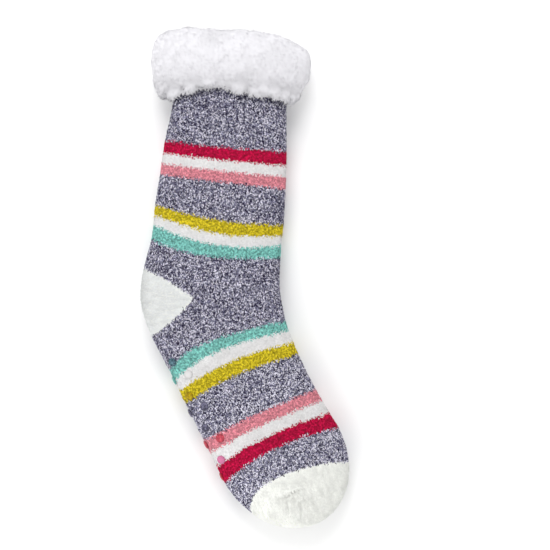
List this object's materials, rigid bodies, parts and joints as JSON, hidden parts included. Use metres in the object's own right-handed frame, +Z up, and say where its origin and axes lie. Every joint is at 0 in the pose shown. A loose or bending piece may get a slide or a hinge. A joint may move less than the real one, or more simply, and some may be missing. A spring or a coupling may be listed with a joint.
{
  "type": "house sock",
  "caption": "Slack knitted house sock lying on its side, with coloured bands, white heel and toe, a sherpa lining turned down as a thick cuff, and grip dots on the sole.",
  "frame": {"origin": "on the floor, under the middle of the sock's box", "axes": "+Z up from the floor, +Y from the toe to the cuff, +X from the heel's back to the instep"},
  "size_m": [0.1757, 0.4205, 0.0474],
  "materials": {
    "knit": "heather grey fuzzy yarn with coloured bands",
    "sherpa": "white sherpa pile"
  },
  "bodies": {
    "root": {"knit_outer": "knit", "sherpa_leg": "sherpa", "sherpa_foot": "sherpa"}
  },
  "joints": []
}
